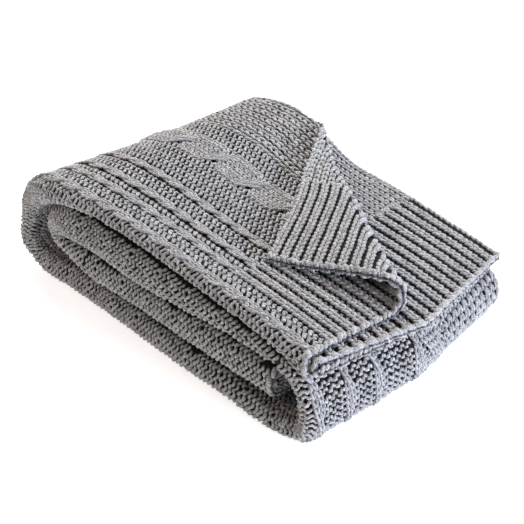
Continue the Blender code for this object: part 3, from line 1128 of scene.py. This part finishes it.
@dataclass
class Chart:
    """What the knitter knits: which stitches stand where on the cloth. Widths count from the near side."""

    fold: Fold
    purl: PurlLoop = PurlLoop()
    # smooth stitches of the small cables, the broad cable, the large open border and the hem's ribs
    mini_leg: KnitLeg = KnitLeg(width=3.9, pitch=4.6, reach=1.45, radius=1.05)
    broad_leg: KnitLeg = KnitLeg(width=4.5, pitch=4.8, reach=1.25, radius=1.08, rise=0.95, outer=0.42)
    border_leg: KnitLeg = KnitLeg(width=7.0, pitch=6.6, reach=1.2, radius=1.38, inner=0.12, rise=0.95)
    rib_leg: KnitLeg = KnitLeg(width=5.6, pitch=4.8, reach=1.3, radius=1.35, rise=0.9, base=1.2)
    # first and last place across of each band of purl
    purl_bands: tuple[tuple[float, float], ...] = ((6.8, 15.8), (25.0, 29.0), (39.0, 51.0), (61.0, 96.0),
                                                   (112.5, 136.0))
    mini_places: tuple[float, ...] = (20.3, 34.8, 56.3)
    mini_period: float = 19.0
    mini_share: float = 0.85
    mini_over: float = 0.65
    mini_under: float = 0.7
    cable_place: float = 104.2
    cable_swing: float = 6.7
    cable_period: float = 40.0
    cable_start: float = -236.0
    cable_share: float = 0.5
    cable_over: float = 1.3
    cable_under: float = 0.9
    cable_uneven: float = 0.16
    # places of the wales in their strand, and the height added to each
    wales: tuple[float, ...] = (-4.2, 0.0, 4.2)
    dome: tuple[float, ...] = (0.8, 1.3, 0.8)
    # first and last place across of the border
    border: tuple[float, float] = (136.5, 195.0)
    rib_from: float = -88.0
    rib_pitch: float = 10.0
    rib_first: float = 38.0
    rib_uneven: float = 0.2
    # where the stitches stop before the outer hem, and before the far edge
    hem_stop: float = -2.0
    far_stop: float = 194.0
    # from a rib's middle to the low purl beside it
    rib_clear: float = 3.4

    def strands(self, place: float, rows: tuple[np.ndarray, np.ndarray], start: float = 7.0,
                lift: float = 0.45, swing: float = 1.75) -> list[Stitches]:
        """Two crossing strands of a small cable.

        Args:
            place: width position on the cloth.
            rows: the rows and their lengths.
            start: length along the cloth at which a period starts.
            lift: height added to the stitches.
            swing: how far the strands stand from the middle.

        Returns:
            The strands' legs.
        """
        lanes = [Lane(place, swing, self.mini_period, start, self.mini_share, side, over=self.mini_over,
                      under=self.mini_under, lift=lift) for side in (-1.0, 1.0)]
        return [self.mini_leg.lay(lane, rows) for lane in lanes]

    def broad_cable(self, place: float, rows: tuple[np.ndarray, np.ndarray], start: float) -> list[Stitches]:
        """Two crossing strands of three wales each.

        Args:
            place: width position on the cloth.
            rows: the rows and their lengths.
            start: length along the cloth at which a period starts.

        Returns:
            The wales' legs.
        """
        legs = []
        for wale, lift in zip(self.wales, self.dome):
            for side in (-1.0, 1.0):
                lane = Lane(place, self.cable_swing, self.cable_period, start, self.cable_share, side, wale,
                            over=self.cable_over, under=self.cable_under, lift=lift)
                legs.append(self.broad_leg.lay(lane, rows))
        return legs

    def columns(self, leg: KnitLeg, places: np.ndarray, s_range: tuple[float, float], face: Face,
                lift: float = 0.0) -> Stitches:
        """Straight columns of smooth stitches.

        Args:
            leg: the stitch.
            places: width positions on the cloth.
            s_range: first and last length along the cloth.
            face: side of the cloth that they stand on.
            lift: height added to them.

        Returns:
            All the columns' legs.
        """
        lay = []
        for place in places:
            rows = self.fold.rows(place, s_range[0], s_range[1], leg.pitch)
            lay.append(leg.lay(Lane(place, lift=lift), rows, face))
        return join(lay)

    def seen(self, stitches: Stitches, most: float = 2.4) -> Stitches:
        """Right-side stitches where the corner has turned by less than the most, the others being hidden."""
        return stitches.kept(self.fold.turn_angle(*stitches.middle()) < most)


@dataclass
class Piece:
    """A piece of the blanket: it becomes an object that rides with the frame."""

    name: str
    points: np.ndarray
    faces: np.ndarray
    heights: np.ndarray
    tones: np.ndarray
    uv: np.ndarray
    material: bpy.types.Material

    def build(self) -> bpy.types.Object:
        """Make the object, with its heights, tones and yarn map.

        Returns:
            The object, at the origin, riding on the root body.
        """
        mesh = bpy.data.meshes.new(self.name)
        mesh.from_pydata(self.points, [], self.faces)
        mesh.polygons.foreach_set("use_smooth", np.ones(len(self.faces), dtype=bool))
        # the height attribute drives the yarn's painted shade in the low places
        for name, values in (("height", self.heights), ("tone", self.tones)):
            layer = mesh.attributes.new(name, "FLOAT", "POINT")
            layer.data.foreach_set("value", values.astype(np.float32))
        places = mesh.uv_layers.new(name="yarn")
        places.uv.foreach_set("vector", self.uv.astype(np.float32).ravel())
        mesh.materials.append(self.material)
        mesh.update()
        piece = bpy.data.objects.new(self.name, mesh)
        bpy.context.scene.collection.objects.link(piece)
        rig.ride(piece, "root")
        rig.slot(piece, "blanket")
        LOG.info("%s: %d faces", self.name, len(self.faces))
        return piece


@dataclass
class Cloth:
    """The thin ground of the knitting, under its stitches, painted near black as the shade in the gaps between them.
    """

    fold: Fold
    material: bpy.types.Material
    half: float = 0.5
    coarse_step: float = 6.5
    fine_step: float = 4.0
    fine_from: float = -215.0
    ply_step: float = 12.0
    turn_lines: int = 6
    top_step: float = 4.5
    inset: float = 1.4
    map_scale: float = 0.1
    # least height above the ground, in metres
    floor: float = 0.0002

    def lines_along(self) -> np.ndarray:
        """Lengths of the grid lines: coarse inside, fine on the top ply.

        Returns:
            Lengths along the cloth, in rising order.
        """
        start = self.fold.knots[0] + self.inset
        coarse = np.linspace(start, self.fine_from, int((self.fine_from - start) / self.coarse_step))
        fine = np.linspace(self.fine_from, -self.inset, int(-self.fine_from / self.fine_step))
        return np.concatenate((coarse, fine[1:]))

    def lines_across(self) -> np.ndarray:
        """Width positions of the grid lines: close in the turns and on the top ply.

        Returns:
            Positions across the flat cloth, in rising order.
        """
        fold = self.fold
        inner = int(fold.ply_width / self.ply_step)
        counts = (inner, self.turn_lines, inner, self.turn_lines, inner, 2 * self.turn_lines,
                  int(fold.ply_width / self.top_step))
        widths = (fold.ply_width, fold.inner_turn, fold.ply_width, fold.inner_turn, fold.ply_width,
                  fold.outer_turn, fold.ply_width)
        lines = [np.zeros(1)]
        for width, count in zip(widths, counts):
            lines.append(lines[-1][-1] + np.linspace(0.0, width, count + 1)[1:])
        lines = np.concatenate(lines)
        lines[0] += self.inset
        lines[-1] -= self.inset
        return lines

    def build(self) -> bpy.types.Object:
        """Closed sheet: the grid at plus and at minus half the thickness, joined along its four edges.

        Returns:
            The cloth's object.
        """
        s, v = np.meshgrid(self.lines_along(), self.lines_across(), indexing="ij")
        rows, cols = s.shape
        outer, _ = self.fold.shell(s, v, np.full(s.shape, self.half))
        inner, _ = self.fold.shell(s, v, np.full(s.shape, -self.half))
        points = np.concatenate((outer.reshape(-1, 3), inner.reshape(-1, 3)))
        points[:, 2] = np.maximum(points[:, 2], self.floor)
        number = np.arange(rows * cols).reshape(rows, cols)
        a, b, c, d = number[:-1, :-1], number[1:, :-1], number[1:, 1:], number[:-1, 1:]
        top = np.stack((a, b, c, d), axis=-1).reshape(-1, 4)
        under = top[:, ::-1] + rows * cols
        edge = np.concatenate((number[:-1, 0], number[-1, :-1], number[:0:-1, -1], number[0, :0:-1]))
        after = np.roll(edge, -1)
        rim = np.stack((after, edge, edge + rows * cols, after + rows * cols), axis=-1)
        faces = np.concatenate((top, under, rim))
        flat = np.concatenate((np.stack((s, v), axis=-1).reshape(-1, 2),) * 2) * self.map_scale
        # heights of zero give the whole sheet the painted shade colour
        heights = np.zeros(len(points))
        return Piece("blanket_cloth", points, faces, heights, heights, flat[faces], self.material).build()


@dataclass
class Knitted:
    """Part of the knitting that the chart and the weaver make."""

    chart: Chart
    weaver: Weaver
    material: bpy.types.Material

    def across(self, place: float) -> float:
        """Width position on the cloth of a distance from the near side, on the top ply."""
        return self.chart.fold.top_start + place


@dataclass
class TopKnit(Knitted):
    """Right side of the top ply, from under the left roll to the outer hem."""

    roll_start: float = -405.0
    # bands of purl that start nearer than this run on to the hem, beside the ribs
    beside_ribs: float = 16.0
    # the ribs nearest the near side, which stand closer than the others
    near_ribs: tuple[float, ...] = (20.0, 29.0)
    rib_lift: float = 0.5
    low: PurlLoop = PurlLoop(width=3.6, pitch=4.8, sway=0.8, rise=0.4, base=0.4, radius=0.95)
    # greatest angle of turn at which the ribs still show, inside the turned corner's curl
    inside_curl: float = 3.1

    def purl(self) -> list[Stitches]:
        """Bumpy ground between the cables.

        Returns:
            One group of loops a band.
        """
        chart = self.chart
        bands = []
        for first, last in chart.purl_bands:
            end = 0.0 if first < self.beside_ribs else chart.rib_from
            places = (self.across(first), self.across(last))
            band = chart.purl.fill(chart.fold, (self.roll_start, end), places)
            bands.append(chart.seen(band).uneven())
        return bands

    def cables(self) -> list[Stitches]:
        """Three small two-strand cables and the broad one.

        Returns:
            All the cables' legs as one group.
        """
        chart = self.chart
        bands = []
        for place in chart.mini_places:
            v = self.across(place)
            rows = chart.fold.rows(v, self.roll_start, chart.rib_from, chart.mini_leg.pitch)
            bands += chart.strands(v, rows)
        v = self.across(chart.cable_place)
        rows = chart.fold.rows(v, self.roll_start, chart.rib_from, chart.broad_leg.pitch)
        bands += chart.broad_cable(v, rows, chart.cable_start)
        return [chart.seen(join(bands)).uneven(chart.cable_uneven)]

    def border(self) -> list[Stitches]:
        """Broad border of large open stitches.

        Returns:
            The border's legs as one group.
        """
        chart = self.chart
        count = int((chart.border[1] - chart.border[0]) / chart.border_leg.width)
        share = (np.arange(count) + 0.5) / count
        places = self.across(chart.border[0] + share * (chart.border[1] - chart.border[0]))
        legs = chart.columns(chart.border_leg, places, (self.roll_start, chart.rib_from), Face.RIGHT)
        return [chart.seen(legs).uneven()]

    def ribs(self) -> list[Stitches]:
        """Ribs of the outer hem: raised columns of smooth stitches with low purl between.

        Returns:
            The ribs, then one group of loops for each groove.
        """
        chart = self.chart
        even = np.arange(chart.rib_first, chart.far_stop, chart.rib_pitch)
        places = self.across(np.concatenate((self.near_ribs, even)))
        span = (chart.rib_from, chart.hem_stop)
        groups = [chart.columns(chart.rib_leg, places, span, Face.RIGHT, self.rib_lift)]
        for a, b in zip(places[:-1], places[1:]):
            groups.append(self.low.fill(chart.fold, span, (a + chart.rib_clear, b - chart.rib_clear)))
        return [chart.seen(group, self.inside_curl).uneven(chart.rib_uneven) for group in groups]

    def build(self) -> list[bpy.types.Object]:
        """Make the top ply's pieces.

        Returns:
            The purl ground, the cables, the open border and the hem's ribs.
        """
        return [self.weaver.piece("purl_ground", self.purl(), self.material),
                self.weaver.piece("cables", self.cables(), self.material),
                self.weaver.piece("open_border", self.border(), self.material),
                self.weaver.piece("hem_ribs", self.ribs(), self.material)]


@dataclass
class NearFolds(Knitted):
    """Near long side: the outer turn of the cloth's width, over the whole length."""

    loops: PurlLoop = PurlLoop(width=4.7, pitch=4.05, sway=1.1, rise=0.75, base=0.85, radius=1.18)
    unevenness: float = 0.34
    margin: float = 1.0
    measured: float = -3.0
    slant: float = 0.07
    cable_place: float = 1.6
    cable_start: float = 2.0
    cable_lift: float = 0.9
    cable_swing: float = 2.3
    # rise at the middle of the turn, least height at its creases, and the share of the turn at which the
    # inside starts
    swell: float = 1.4
    sunk: float = -0.7
    inside_from: float = 1.35
    # from one station to another, and the places across between which purl shows there
    reaches: tuple[tuple[int, int, float, float], ...] = (
        (0, 4, 1.5, -19.5),
        (4, 9, 1.5, -44.0),
        (9, 14, -0.5, -18.5),
        (14, 17, 1.5, -34.0),
        (17, 19, 1.5, -80.0),
        (19, 22, 1.5, -21.0),
        (22, 29, 1.5, -50.0),
        (29, 34, 1.5, -19.2),
    )
    # from one station to another where the small cable shows
    cable_reaches: tuple[tuple[int, int], ...] = ((0, 4), (14, 34))

    def rounded(self, stitches: Stitches) -> Stitches:
        """Raise the stitches at the middle of the turn and sink those towards the creases.

        Args:
            stitches: rows of purl.

        Returns:
            The same rows, swelling between the creases.
        """
        half = self.chart.fold.outer_turn / 2.0
        away = np.abs((stitches.v - self.across(-half)) / half)
        risen = np.maximum(self.swell * (0.5 - away ** 2), self.sunk)
        return replace(stitches, h=stitches.h + np.where(away > self.inside_from, 0.0, risen))

    def build(self) -> list[bpy.types.Object]:
        """Make a small cable along the shoulder of the turn, and rows of purl round and under it.

        Returns:
            The near folds and their edge cable.
        """
        chart = self.chart
        knots = chart.fold.knots
        groups = []
        for first, last, above, below in self.reaches:
            reach = (self.across(above), self.across(below))
            span = (knots[first] + self.margin, knots[last] - self.margin)
            rows = self.loops.run(chart.fold, span, reach, self.across(self.measured), self.slant)
            groups.append(self.rounded(rows).uneven(self.unevenness))
        v = self.across(self.cable_place)
        strands = []
        for first, last in self.cable_reaches:
            span = (knots[first] + self.margin, knots[last] - self.margin)
            rows = chart.fold.rows(v, *span, chart.mini_leg.pitch)
            strands += chart.strands(v, rows, self.cable_start, self.cable_lift, self.cable_swing)
        return [self.weaver.piece("near_folds", groups, self.material),
                self.weaver.piece("edge_cable", [join(strands).uneven(chart.cable_uneven)], self.material)]


@dataclass
class RightWrap(Knitted):
    """Right end, where the lower layers go round under the top one."""

    # first and last place across of each band of purl
    purl_bands: tuple[tuple[float, float], ...] = ((5.8, 23.5), (31.5, 48.5), (56.5, 85.0), (93.5, 99.0),
                                                   (111.5, 123.5))
    mini_places: tuple[float, ...] = (27.5, 52.5, 89.5)
    mini_swing: float = 2.2
    cable_place: float = 106.0
    cable_start: float = 11.0
    # first column of the border, and where the columns stop
    border_first: float = 126.0
    border_stop: float = 193.0
    # stations between which the wrap shows, and how far inside each of them it starts and ends
    stations: tuple[int, int] = (13, 19)
    margins: tuple[float, float] = (8.0, 20.0)

    def build(self) -> list[bpy.types.Object]:
        """Make the purl, the cables and the open border of the wrapped end.

        Returns:
            The right wrap.
        """
        chart = self.chart
        fold = chart.fold
        first_knot, last_knot = self.stations
        span = (fold.knots[first_knot] + self.margins[0], fold.knots[last_knot] - self.margins[1])
        groups = []
        for first, last in self.purl_bands:
            band = chart.purl.fill(fold, span, (self.across(first), self.across(last)))
            groups.append(band.uneven())
        strands = []
        for place in self.mini_places:
            v = self.across(place)
            strands += chart.strands(v, fold.rows(v, *span, chart.mini_leg.pitch), swing=self.mini_swing)
        v = self.across(self.cable_place)
        strands += chart.broad_cable(v, fold.rows(v, *span, chart.broad_leg.pitch), self.cable_start)
        groups.append(join(strands).uneven(chart.cable_uneven))
        places = self.across(np.arange(self.border_first, self.border_stop, chart.border_leg.width))
        groups.append(chart.columns(chart.border_leg, places, span, Face.RIGHT).uneven())
        return [self.weaver.piece("right_wrap", groups, self.material)]


@dataclass
class TurnedCorner(Knitted):
    """Wrong side of the top ply's far corner, turned back."""

    least_angle: float = 0.9
    rib_first: float = 61.0
    rib_pitch: float = 9.3
    rib_from: float = -112.0
    rib_lift: float = 0.2
    border_first: float = 102.0
    border_from: float = -205.0
    rib_leg: KnitLeg = KnitLeg(width=6.4, pitch=4.8, reach=1.3, radius=1.42, rise=0.9, base=1.1, outer=0.4)

    def build(self) -> list[bpy.types.Object]:
        """Make the ribs and the border stitches on the wrong side.

        Returns:
            The turned corner.
        """
        chart = self.chart
        places = self.across(np.arange(self.rib_first, chart.far_stop, self.rib_pitch))
        span = (self.rib_from, chart.hem_stop)
        groups = [chart.columns(self.rib_leg, places, span, Face.WRONG, self.rib_lift)]
        places = self.across(np.arange(self.border_first, chart.far_stop, chart.border_leg.width))
        span = (self.border_from, self.rib_from)
        groups.append(chart.columns(chart.border_leg, places, span, Face.WRONG))
        shown = []
        for group in groups:
            angle = chart.fold.turn_angle(*group.middle())
            shown.append(group.kept(angle > self.least_angle).uneven(chart.rib_uneven))
        return [self.weaver.piece("turned_corner", shown, self.material)]


@dataclass
class SecondPly(Knitted):
    """Wrong side of the second ply, bare where the corner is turned back."""

    rib_first: float = 4.0
    rib_pitch: float = 10.0
    rib_from: float = -92.0
    rib_lift: float = 0.3
    rib_leg: KnitLeg = KnitLeg(width=5.7, pitch=4.8, reach=1.3, radius=1.35, rise=0.85, base=1.1)
    low: PurlLoop = PurlLoop(width=3.6, pitch=4.8, sway=0.8, rise=0.3, base=0.0, radius=0.85)
    wale_first: float = 70.0
    wale: float = 6.4
    wale_leg: KnitLeg = KnitLeg(width=5.3, pitch=5.2, reach=1.25, radius=1.15, rise=0.9)
    roll_start: float = -230.0
    # least angle of the turned corner at which the ply shows, and the strip that always shows past the hem
    least_angle: float = -0.6
    strip: float = -14.0

    def build(self) -> list[bpy.types.Object]:
        """Make the ribs and wales beside the turned corner, and the strip that shows past the hem.

        Returns:
            The second ply's piece.
        """
        chart = self.chart
        width = chart.fold.ply_width
        places = width - np.arange(self.rib_first, chart.far_stop, self.rib_pitch)
        span = (self.rib_from, chart.hem_stop)
        groups = [chart.columns(self.rib_leg, places, span, Face.WRONG, self.rib_lift)]
        for a, b in zip(places[:-1], places[1:]):
            between = (a - chart.rib_clear, b + chart.rib_clear)
            groups.append(self.low.fill(chart.fold, span, between, Face.WRONG))
        places = width - np.arange(self.wale_first, chart.far_stop, self.wale)
        groups.append(chart.columns(self.wale_leg, places, (self.roll_start, self.rib_from), Face.WRONG))
        shown = []
        for group in groups:
            s, v = group.middle()
            angle = chart.fold.turned(s, width - v)[3]
            shown.append(group.kept((angle > self.least_angle) | (s > self.strip)).uneven(chart.rib_uneven))
        return [self.weaver.piece("second_ply", shown, self.material)]


@dataclass
class HemEdges(Knitted):
    """Chains of cast-off stitches along both hems, and of edge stitches along the two selvages."""

    hem_pitch: float = 3.9
    selvage_pitch: float = 5.2
    hem_radius: float = 1.85
    selvage_radius: float = 1.25
    rib_swell: float = 1.1
    height: float = 1.5
    hem_inset: float = 0.7
    selvage_inset: float = 1.3
    unevenness: float = 0.25
    # points of a lobe, its length in pitches, its slant, and the share of half a cosine that its arch covers
    points: int = 5
    overlap: float = 1.35
    lean: float = 1.2
    arch: float = 0.9
    # shares of the height and of the radius at a lobe's ends, and what the arch adds to each
    low: tuple[float, float] = (0.4, 0.55)
    arched: tuple[float, float] = (0.6, 0.45)
    # where the top ply's selvage starts to turn back, and how much is left bare on each side of it
    turn_place: float = -215.0
    turn_gap: float = 9.0

    def chain(self, first: tuple[float, float], last: tuple[float, float], high: float, pitch: float,
              radius: float, swell: float) -> Stitches:
        """Plump slanting lobes from one point of the cloth to another, each overlapping the next.

        Args:
            first: length and width position of the start.
            last: length and width position of the end.
            high: height above the middle of the cloth.
            pitch: distance from one lobe to the next.
            radius: the yarn's radius.
            swell: how far the lobes rise and fall with the ribs, as a cosine of the rib's pitch.

        Returns:
            The lobes.
        """
        start, run = np.array(first), np.array(last) - np.array(first)
        length = float(np.hypot(*run))
        direction = run / length
        across = np.array((-direction[1], direction[0]))
        places = np.arange(0.5, length / pitch) * pitch
        t = np.linspace(-0.5, 0.5, self.points)
        hump = np.cos(np.pi * t * self.arch)
        along = places[:, None] + t[None, :] * pitch * self.overlap
        side = np.broadcast_to(np.sin(np.pi * t) * self.lean, along.shape)
        s = start[0] + along * direction[0] + side * across[0]
        v = start[1] + along * direction[1] + side * across[1]
        chart = self.chart
        phase = 2.0 * np.pi * (v - chart.fold.top_start - chart.rib_first) / chart.rib_pitch
        h = high * (self.low[0] + self.arched[0] * hump) + swell * np.cos(phase)
        thick = radius * (self.low[1] + self.arched[1] * hump)
        return Stitches(s, v, h, np.broadcast_to(thick, along.shape) + 0.0)

    def build(self) -> list[bpy.types.Object]:
        """Make chains on both faces of the hems and the selvages.

        Returns:
            The hems' and selvages' piece.
        """
        fold = self.chart.fold
        end = fold.top_start + fold.ply_width
        back = fold.knots[0]
        outer, inner = -self.hem_inset, back + self.hem_inset
        near, far = self.selvage_inset, end - self.selvage_inset
        hem = (self.hem_pitch, self.hem_radius)
        edge = (self.selvage_pitch, self.selvage_radius, 0.0)
        groups = []
        for high in (self.height, -self.height):
            groups.append(self.chain((outer, 0.0), (outer, end), high, *hem, self.rib_swell))
            groups.append(self.chain((inner, 0.0), (inner, end), high, *hem, 0.0))
            groups.append(self.chain((back, near), (0.0, near), high, *edge))
            groups.append(self.chain((back, far), (self.turn_place - self.turn_gap, far), high, *edge))
            groups.append(self.chain((self.turn_place + self.turn_gap, far), (0.0, far), high, *edge))
        groups = [group.uneven(self.unevenness) for group in groups]
        return [self.weaver.piece("hem_edges", groups, self.material)]


@dataclass
class FarFolds(Knitted):
    """Far long side: the inner turn between the two middle plies."""

    loops: PurlLoop = PurlLoop(width=6.8, pitch=5.4, sway=1.5, rise=0.75, base=1.0, radius=1.3)
    reach: float = 9.3
    margin: float = 1.0

    def build(self) -> list[bpy.types.Object]:
        """Make purl rows round the turn.

        Returns:
            The far folds.
        """
        fold = self.chart.fold
        middle = 2.0 * fold.ply_width + 1.5 * fold.inner_turn
        span = (fold.knots[0] + self.margin, -self.margin)
        rows = self.loops.fill(fold, span, (middle - self.reach, middle + self.reach))
        return [self.weaver.piece("far_folds", [rows.uneven()], self.material)]


def main() -> None:
    """Build the studio and the blanket's pieces in order."""
    logging.basicConfig(level=logging.INFO)
    Camera().build()
    Studio().build()
    fold = Fold()
    chart = Chart(fold)
    weaver = Weaver(fold)
    material = GREY_YARN.material()
    pieces: list[bpy.types.Object] = []
    for part in (TopKnit, NearFolds, RightWrap, TurnedCorner, SecondPly, HemEdges, FarFolds):
        pieces.extend(part(chart, weaver, material).build())
    cloth = Cloth(fold, GAP_SHADE_YARN.material()).build()
    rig.replaces(cloth, "blanket")
    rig.sheet(cloth, flat=fold.flat_size, held="folded", with_pieces=pieces)
    low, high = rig.bounds()
    with open(SIZE_FILE, "w") as out:
        json.dump({"frame": [list(map(float, corner)) for corner in FRAME_BOX],
                   "visual": [list(map(float, low)), list(map(float, high))]}, out)


if __name__ == "__main__":
    main()
